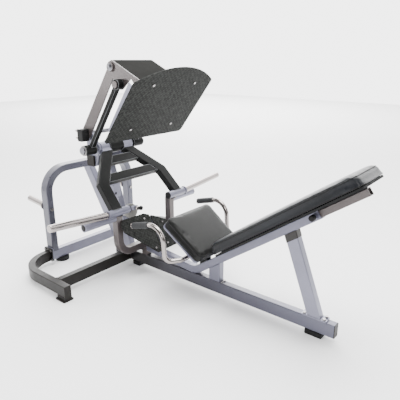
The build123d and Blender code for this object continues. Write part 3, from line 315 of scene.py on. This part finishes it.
NODES_OF_LOOK = (
    (rail_with_painted_shade, ("main_rail",)),
    (base_dark, ("front_cross_tubes", "side_loop_near", "side_loop_far")),
    (cap_plastic, ("tube_end_caps",)),
    (silver, (
        "rear_cross_tube", "mast_head", "step_spine", "seat_rail", "short_post", "seat_board",
        "horn_sockets",
    )),
    (hoop_coat, ("rear_hoop",)),
    (chrome, (
        "storage_horn_near", "storage_horn_far", "weight_horn_near", "weight_horn_far", "link_bolts",
    )),
    (silver_bright, (
        "mast_post", "mast_brace", "pivot_plate_near", "pivot_plate_far", "storage_pegs", "back_post",
        "pivot_housings", "foot_plate_frame",
    )),
    (steel, ("main_axle", "link_axle")),
    (grey_rubber, ("mast_bumper",)),
    (silver_warm, (
        "cradle", "back_slide_tube", "link_strap_near", "link_strap_far", "carriage_plate_near",
        "carriage_plate_far", "carriage_pins",
    )),
    (black_rubber, ("rest_bumpers", "rubber_feet", "back_pull_pin", "link_blocks")),
    (step_tread, ("step_plates",)),
    (bracket_dark, ("post_bracket",)),
    (charcoal, (
        "seat_post", "lever_arm_near", "lever_arm_far", "lever_cross_upper", "lever_cross_lower",
        "lever_hub", "lever_rod_near", "lever_rod_far", "rod_hubs",
    )),
    (handle_satin, ("handle_bars",)),
    (grip_rubber, ("hand_grips",)),
    (zinc, ("frame_bolts", "foot_plate_bolts")),
    (board_cloth, ("back_board",)),
    (cover_dark, ("carriage_cover",)),
    (foot_tread, ("foot_plate",)),
    (black_vinyl, ("seat_pad",)),
    (back_vinyl, ("back_pad",)),
)
for look, names in NODES_OF_LOOK:
    for node_name in names:
        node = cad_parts[node_name]
        if node.material_slots:
            for slot in node.material_slots:
                slot.material = look
        else:
            node.data.materials.append(look)

# ------------------------------------------------------------------ mesh helpers


def add_object(name, mesh, look, body, smooth=True):
    obj = bpy.data.objects.new(name, mesh)
    bpy.context.scene.collection.objects.link(obj)
    mesh.materials.append(look)
    if smooth:
        for poly in mesh.polygons:
            poly.use_smooth = True
    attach(obj, body)
    return obj


def mesh_of(name, bm, recalculate=True):
    """Turns a bmesh into a named mesh and frees it."""
    if recalculate:
        bmesh.ops.recalc_face_normals(bm, faces=bm.faces)
    mesh = bpy.data.meshes.new(name)
    bm.to_mesh(mesh)
    bm.free()
    return mesh


def turned(name, profile, centre, axis, look, body, segments=40):
    """A lathe-turned piece: profile is (radius, distance along the axis) pairs."""
    bm = bmesh.new()
    to_axis = Vector((0, 0, 1)).rotation_difference(Vector(axis).normalized()).to_matrix().to_4x4()
    place = Matrix.Translation(Vector(centre)) @ to_axis
    rings = []
    for radius, along in profile:
        ring = []
        if radius <= 1e-7:
            ring = [bm.verts.new(place @ Vector((0, 0, along)))]
        else:
            for i in range(segments):
                a = 2 * pi * i / segments
                ring.append(bm.verts.new(place @ Vector((radius * cos(a), radius * sin(a), along))))
        rings.append(ring)
    for low, high in zip(rings, rings[1:]):
        if len(low) == 1 and len(high) == 1:
            continue
        for i in range(segments):
            j = (i + 1) % segments
            if len(low) == 1:
                bm.faces.new((low[0], high[j], high[i]))
            elif len(high) == 1:
                bm.faces.new((low[i], low[j], high[0]))
            else:
                bm.faces.new((low[i], low[j], high[j], high[i]))
    return add_object(name, mesh_of(name, bm), look, body)


def block(name, size, place, edge, look, body):
    """A bevelled block. edge is the bevel, as a part of the unit cube that is stretched to size."""
    bm = bmesh.new()
    bmesh.ops.create_cube(bm, size=1.0)
    bmesh.ops.bevel(bm, geom=bm.edges[:], offset=edge, segments=3, affect="EDGES")
    mesh = mesh_of(name, bm, recalculate=False)
    mesh.transform(place @ Matrix.Diagonal((*size, 1)))
    return add_object(name, mesh, look, body, smooth=False)


def tube_along(name, points, radius, look, body, closed=False, sides=8, wobble=0.0):
    """A thin tube through points, such as a piping cord or a weld bead."""
    bm = bmesh.new()
    count = len(points)
    rings = []
    for i, point in enumerate(points):
        ahead = points[(i + 1) % count] if closed or i + 1 < count else points[i]
        behind = points[i - 1] if closed or i > 0 else points[i]
        run = (ahead - behind).normalized()
        side = run.orthogonal().normalized() if i == 0 else (side - run * side.dot(run)).normalized()
        up = run.cross(side)
        r = radius * (1 + wobble * sin(i * 2.1) * cos(i * 0.7))
        ring = []
        for k in range(sides):
            turn = side * cos(2 * pi * k / sides) + up * sin(2 * pi * k / sides)
            ring.append(bm.verts.new(point + turn * r))
        rings.append(ring)
    pairs = list(zip(rings, rings[1:])) + ([(rings[-1], rings[0])] if closed else [])
    for n, (a, b) in enumerate(pairs):
        offset = 0
        if closed and n == len(pairs) - 1:
            offset = min(range(sides), key=lambda k: (a[0].co - b[k].co).length)
        for k in range(sides):
            bm.faces.new((a[k], a[(k + 1) % sides], b[(k + 1 + offset) % sides], b[(k + offset) % sides]))
    if not closed:
        bm.faces.new(rings[0][::-1])
        bm.faces.new(rings[-1])
    return add_object(name, mesh_of(name, bm), look, body)


def rounded_outline(corners, radius, step=0.012):
    """A closed outline through corners, each rounded, as evenly spaced 2-D points."""
    outline = []
    count = len(corners)
    for i in range(count):
        here, before, after = Vector(corners[i]), Vector(corners[i - 1]), Vector(corners[(i + 1) % count])
        to_before, to_after = (before - here).normalized(), (after - here).normalized()
        half = to_before.angle(to_after) / 2
        reach = radius / (sin(half) / cos(half))
        centre = here + (to_before + to_after).normalized() * radius / sin(half)
        a, b = here + to_before * reach - centre, here + to_after * reach - centre
        for k in range(9):
            t = k / 8
            outline.append(centre + (a * (1 - t) + b * t).normalized() * radius)
    even = []
    for i, point in enumerate(outline):
        nxt = outline[(i + 1) % len(outline)]
        cuts = max(1, round((nxt - point).length / step))
        even += [point.lerp(nxt, k / cuts) for k in range(cuts)]
    return even


VOXEL = 0.0060
CLOTH_FRAMES = 20


def evaluated(obj):
    """The mesh of an object with its modifiers applied."""
    return bpy.data.meshes.new_from_object(obj.evaluated_get(bpy.context.evaluated_depsgraph_get()))


def prism(name, outline, low, high):
    """A closed straight-sided form over an outline, with its sides cut in three bands."""
    bm = bmesh.new()
    layers = [low, low + (high - low) * 0.25, low + (high - low) * 0.75, high]
    rings = [[bm.verts.new((p.x, p.y, w)) for p in outline] for w in layers]
    count = len(outline)
    for a, b in zip(rings, rings[1:]):
        for i in range(count):
            j = (i + 1) % count
            bm.faces.new((a[i], a[j], b[j], b[i]))
    bm.faces.new(rings[0][::-1])
    bm.faces.new(rings[-1])
    return mesh_of(name, bm)


def swell(obj, low, cap):
    """Blows the pad up as cloth under pressure, held at its underside. No point moves further than cap."""
    start = obj.data
    before = [v.co.copy() for v in start.vertices]
    pinned = obj.vertex_groups.new(name="underside")
    pinned.add([v.index for v in start.vertices if v.co.z < low + 0.004], 1.0, "ADD")
    cloth = obj.modifiers.new("cloth", "CLOTH")
    cloth.settings.use_pressure = True
    cloth.settings.uniform_pressure_force = 4.0
    cloth.settings.effector_weights.gravity = 0.0
    cloth.settings.mass = 0.4
    cloth.settings.tension_stiffness = 18.0
    cloth.settings.compression_stiffness = 18.0
    cloth.settings.bending_stiffness = 2.0
    cloth.settings.vertex_group_mass = "underside"
    cloth.point_cache.frame_start = 1
    cloth.point_cache.frame_end = CLOTH_FRAMES
    for step in range(1, CLOTH_FRAMES + 1):
        bpy.context.scene.frame_set(step)
    moved = [v.co.copy() for v in evaluated(obj).vertices]
    obj.modifiers.clear()
    bpy.context.scene.frame_set(1)
    for vertex, a, b in zip(start.vertices, before, moved):
        shift = b - a
        if shift.length > cap:
            shift = shift.normalized() * cap
        vertex.co = a + shift


def crown_top(mesh, outline, low, high, crown, end_round):
    """Raises the middle of the top, and rounds the two ends over a length of end_round."""
    xs = [p.x for p in outline]
    ys = [p.y for p in outline]
    mid_x, mid_y = (min(xs) + max(xs)) / 2, (min(ys) + max(ys)) / 2
    half_x, half_y = (max(xs) - min(xs)) / 2, (max(ys) - min(ys)) / 2
    for vertex in mesh.vertices:
        t = max(0.0, (vertex.co.z - low) / (high - low))
        u = min(1.0, abs(vertex.co.x - mid_x) / half_x)
        v = min(1.0, abs(vertex.co.y - mid_y) / half_y)
        vertex.co.z += crown * t * (1 - u ** 4) * (1 - v ** 2)
        if end_round:
            near_end = max(0.0, min(vertex.co.x - min(xs), max(xs) - vertex.co.x))
            if near_end < end_round:
                drop = 1 - sqrt(1 - (1 - near_end / end_round) ** 2)
                vertex.co.z -= drop * t * 0.7 * (high - low)


def cushion(name, outline, low, high, place, crown, cap, look, body, node, end_round=0.0):
    """A foam pad in its cover: a closed form, swollen by a cloth simulation, then smoothed."""
    obj = bpy.data.objects.new(name, prism(name, outline, low, high))
    bpy.context.scene.collection.objects.link(obj)
    bpy.context.view_layer.objects.active = obj
    remesh = obj.modifiers.new("remesh", "REMESH")
    remesh.mode = "VOXEL"
    remesh.voxel_size = VOXEL
    bpy.context.view_layer.update()
    start = evaluated(obj)
    obj.modifiers.clear()
    obj.data = start
    swell(obj, low, cap)
    crown_top(obj.data, outline, low, high, crown, end_round)
    smooth = obj.modifiers.new("smooth", "SMOOTH")
    smooth.factor = 0.5
    smooth.iterations = 4
    sub = obj.modifiers.new("subdivision", "SUBSURF")
    sub.levels = 1
    sub.render_levels = 1
    final = evaluated(obj)
    obj.modifiers.clear()
    obj.data = final
    final.transform(place)
    final.materials.clear()
    final.materials.append(look)
    for poly in final.polygons:
        poly.use_smooth = True
    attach(obj, body)
    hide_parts(node)
    return obj


def piping(name, pad, outline, height, place, radius, look, body, sink=0.35):
    """A sewn cord along an edge of a pad, laid on the swollen surface."""
    tree = BVHTree.FromObject(pad, bpy.context.evaluated_depsgraph_get())
    centre = sum((Vector((p.x, p.y, 0)) for p in outline), Vector()) / len(outline)
    points = []
    for p in outline:
        out = Vector((p.x, p.y, 0)) - centre
        probe = place @ Vector((p.x, p.y, height))
        far = place @ (Vector((p.x, p.y, height)) + out.normalized() * 0.05)
        hit, normal, _, _ = tree.ray_cast(far, (probe - far).normalized())
        if hit is None:
            hit, normal, _, _ = tree.find_nearest(probe)
        points.append(hit + normal * radius * sink)
    count = len(points)
    for _ in range(3):
        points = [(points[i - 1] + points[i] * 2 + points[(i + 1) % count]) / 4 for i in range(count)]
    return tube_along(name, points, radius, look, body, closed=True, sides=10)


# ------------------------------------------------------------------ cushions


def sloped(slope, x, z):
    """The place of a pad that slopes up along X by a slope in degrees, from a point in the middle plane."""
    turn = radians(slope)
    along = Vector((cos(turn), 0, sin(turn)))
    up = Vector((-sin(turn), 0, cos(turn)))
    return Matrix(((along.x, 0, up.x, x), (0, 1, 0, 0), (along.z, 0, up.z, z), (0, 0, 0, 1)))


SEAT_CORNER_R = 0.034
seat_place = sloped(-35.0, 0.060, 0.541)
seat_corners = [(0.004, -0.207), (0.336, -0.200), (0.336, 0.200), (0.004, 0.207)]
seat = cushion(
    "seat_cushion", rounded_outline(seat_corners, SEAT_CORNER_R), -0.065, -0.005, seat_place, 0.006, 0.007,
    black_vinyl, "frame", "seat_pad",
)
seat_seam = rounded_outline(seat_corners, SEAT_CORNER_R, 0.010)
piping("seat_piping", seat, seat_seam, -0.020, seat_place, 0.0032, pipe_vinyl, "frame")

BACK_CORNER_R = 0.036
back_place = sloped(35.1, 0.179, 0.132)
back_corners = [(0.289, -0.157), (1.296, -0.158), (1.296, 0.158), (0.289, 0.157)]
back_outline = rounded_outline(back_corners, BACK_CORNER_R)
back = cushion(
    "back_cushion", back_outline, 0.0685, 0.129, back_place, 0.005, 0.006, back_vinyl, "backrest", "back_pad",
    end_round=0.055,
)
for pipe_name, height, pipe_r in (("back_piping_top", 0.118, 0.0032), ("back_piping_low", 0.072, 0.0026)):
    piping(pipe_name, back, back_outline, height, back_place, pipe_r, pipe_vinyl, "backrest")

# ------------------------------------------------------------------ small hardware

SIDES = {"near": -1, "far": 1}
GRIP_START = (-0.112, 0.320, 0.478)
PEG_END = (-0.345, 0.522, 0.464)
grip_run = Vector((254, 0, 67)).normalized()


def mirrored(place, side):
    x, y, z = place
    return Vector((x, side * y, z))


for side_name, side in SIDES.items():
    grip_start = mirrored(GRIP_START, side)
    peg_end = mirrored(PEG_END, side)
    outward = (0, side, 0)
    for ring in range(9):
        turned(
            f"grip_rib_{side_name}_{ring}",
            [(0.0188, -0.003), (0.0202, -0.0015), (0.0202, 0.0015), (0.0188, 0.003)],
            grip_start + grip_run * (0.012 + 0.014 * ring), grip_run, grip_rubber, "frame", 32,
        )
    turned(
        f"grip_cap_{side_name}",
        [(0.0, -0.004), (0.012, -0.0036), (0.0185, -0.001), (0.020, 0.002), (0.020, 0.005)],
        grip_start - grip_run * 0.006, grip_run, chrome, "frame", 32,
    )
    turned(
        f"peg_recess_{side_name}",
        [(0.0, 0.0008), (0.0205, 0.0008), (0.0215, 0.0016), (0.027, 0.0016), (0.027, -0.002)],
        peg_end, outward, silver_bright, "frame",
    )
    # Painted shade: peg_mouth is a flat black disc across the peg end, standing in for the dark inside of its
    # open mouth.
    turned(
        f"peg_mouth_{side_name}", [(0.0, 0.0018), (0.0205, 0.0018), (0.0205, 0.0006)],
        peg_end, outward, black_rubber, "frame",
    )
    turned(
        f"socket_plug_{side_name}",
        [(0.0, 0.0085), (0.022, 0.008), (0.0262, 0.006), (0.0265, 0.0), (0.0, 0.0)],
        mirrored((-0.2961, 0.195, 0.516), side), (0, -side, 0), black_rubber, "weight_lever",
    )
    turned(
        f"axle_washer_{side_name}", [(0.026, 0.0), (0.033, 0.0), (0.033, 0.003), (0.026, 0.003)],
        mirrored((-0.640, 0.2622, 0.872), side), outward, zinc, "weight_lever",
    )
    turned(
        f"shoulder_cap_{side_name}",
        [(0.0, 0.0055), (0.010, 0.005), (0.012, 0.003), (0.020, 0.0028), (0.023, 0.0)],
        mirrored((-0.408, 0.189, 1.416), side), outward, steel, "foot_carriage",
    )


def weld(name, centre, second_axis, half_x, half_second, look):
    """A weld bead round the foot of a tube on the frame, in the plane of X and a second axis."""
    x_axis, second_axis, centre = Vector((1, 0, 0)), Vector(second_axis), Vector(centre)
    corners = [(-half_x, -half_second), (half_x, -half_second), (half_x, half_second), (-half_x, half_second)]
    outline = rounded_outline(corners, 0.006, 0.004)
    points = [centre + x_axis * p.x + second_axis * p.y for p in outline]
    return tube_along(name, points, 0.0032, look, "frame", closed=True, sides=8, wobble=0.28)


Y_AXIS, Z_AXIS = (0, 1, 0), (0, 0, 1)
weld("weld_mast_foot", (-0.515, 0, 0.1105), Y_AXIS, 0.0392, 0.025, base_dark)
weld("weld_brace_foot", (-0.602, 0, 0.1105), Y_AXIS, 0.0438, 0.025, base_dark)
weld("weld_short_post", (0.294, 0, 0.1105), Y_AXIS, 0.042, 0.025, rail_with_painted_shade)
weld("weld_cradle_stem", (-0.341, 0, 0.1105), Y_AXIS, 0.025, 0.025, rail_with_painted_shade)
for side_name, side in SIDES.items():
    cross_inner, cross_outer = (-0.515, side * 0.0258, 0.0675), (-0.515, side * 0.6282, 0.0675)
    weld(f"weld_cross_inner_{side_name}", cross_inner, Z_AXIS, 0.025, 0.0372, base_dark)
    weld(f"weld_cross_outer_{side_name}", cross_outer, Z_AXIS, 0.025, 0.0372, base_dark)
    weld(f"weld_hoop_foot_{side_name}", (-0.950, side * 0.380, 0.1058), Y_AXIS, 0.0375, 0.023, hoop_coat)

# ------------------------------------------------------------------ lock knob on the mast

LOCK_AXIS = (0.92, 0, 0.25)
KNOB_PROFILE = [
    (0.0, 0.052), (0.009, 0.050), (0.015, 0.044), (0.017, 0.036), (0.015, 0.028), (0.009, 0.022),
    (0.006, 0.020), (0.006, 0.0),
]
COLLAR_PROFILE = [(0.0, 0.0), (0.014, 0.0), (0.016, 0.003), (0.016, 0.018), (0.013, 0.021), (0.007, 0.021)]
turned("lock_knob", KNOB_PROFILE, (-0.418, 0, 0.442), LOCK_AXIS, black_rubber, "frame", 32)
turned("lock_collar", COLLAR_PROFILE, (-0.426, 0, 0.440), LOCK_AXIS, chrome, "frame", 32)
lock_place = Matrix.Translation((-0.505, 0, 0.425)) @ Matrix.Rotation(radians(-15), 4, "Y")
block("lock_bracket", (0.150, 0.044, 0.030), lock_place, 0.06, silver_bright, "frame")

# ------------------------------------------------------------------ stop lug on the lever

lug_place = Matrix.Translation((-0.420, -0.180, 0.616))
block("stop_lug", (0.009, 0.062, 0.094), lug_place, 0.05, silver_bright, "weight_lever")
# Painted shade: lug_hole is a thin black disc on the face of the solid lug, standing in for the dark inside
# of a hole.
LUG_HOLE = [(0.0, 0.0004), (0.0085, 0.0004), (0.0095, 0.0)]
turned("lug_hole", LUG_HOLE, (-0.4155, -0.192, 0.600), (1, 0, 0), black_rubber, "weight_lever", 28)

# ------------------------------------------------------------------ floor and light

FLOOR = 14.0
floor_corners = [(-FLOOR, -FLOOR, 0), (FLOOR, -FLOOR, 0), (FLOOR, FLOOR, 0), (-FLOOR, FLOOR, 0)]
floor_mesh = bpy.data.meshes.new("floor")
floor_mesh.from_pydata(floor_corners, [], [(0, 1, 2, 3)])
floor = bpy.data.objects.new("floor", floor_mesh)
bpy.context.scene.collection.objects.link(floor)
floor_white = Mat("floor_white")
floor_color = floor_white.mix(floor_white.noise(0.8), (0.90, 0.90, 0.90), (0.93, 0.93, 0.93))
floor_mesh.materials.append(floor_white.set(color=floor_color, rough=0.75))

# The sky is brightest behind the object and dims towards the side the camera is on.
world = bpy.data.worlds.new("studio")
bpy.context.scene.world = world
world.use_nodes = True
sky = world.node_tree
background = sky.nodes["Background"]
background.inputs["Color"].default_value = (1.0, 1.0, 1.0, 1.0)
direction = sky.nodes.new("ShaderNodeTexCoord")
facing = sky.nodes.new("ShaderNodeVectorMath")
facing.operation = "DOT_PRODUCT"
facing.inputs[1].default_value = (-0.62, 0.78, 0.05)
sweep = sky.nodes.new("ShaderNodeMapRange")
sweep.interpolation_type = "SMOOTHSTEP"
sweep.inputs["From Min"].default_value = -0.35
sweep.inputs["From Max"].default_value = 0.75
sweep.inputs["To Min"].default_value = 0.42
sweep.inputs["To Max"].default_value = 4.6
sky.links.new(direction.outputs["Generated"], facing.inputs[0])
sky.links.new(facing.outputs["Value"], sweep.inputs["Value"])
sky.links.new(sweep.outputs["Result"], background.inputs["Strength"])


def area_light(name, location, target, size, power):
    data = bpy.data.lights.new(name, "AREA")
    data.shape = "RECTANGLE"
    data.size, data.size_y = size
    data.energy = power
    obj = bpy.data.objects.new(name, data)
    bpy.context.scene.collection.objects.link(obj)
    obj.location = location
    obj.rotation_euler = (Vector(target) - Vector(location)).to_track_quat("-Z", "Y").to_euler()


area_light("top", (0.3, 0.2, 4.6), (0, 0, 0), (3.4, 3.4), 470)
area_light("key", (3.4, -2.6, 2.6), (0.1, 0, 0.6), (1.2, 1.8), 90)
area_light("side", (-3.4, -3.0, 1.8), (-0.4, 0, 0.6), (1.0, 1.8), 50)
area_light("far_floor", (-7.0, 8.6, 5.0), (-7.0, 8.6, 0), (11.0, 9.0), 2300)
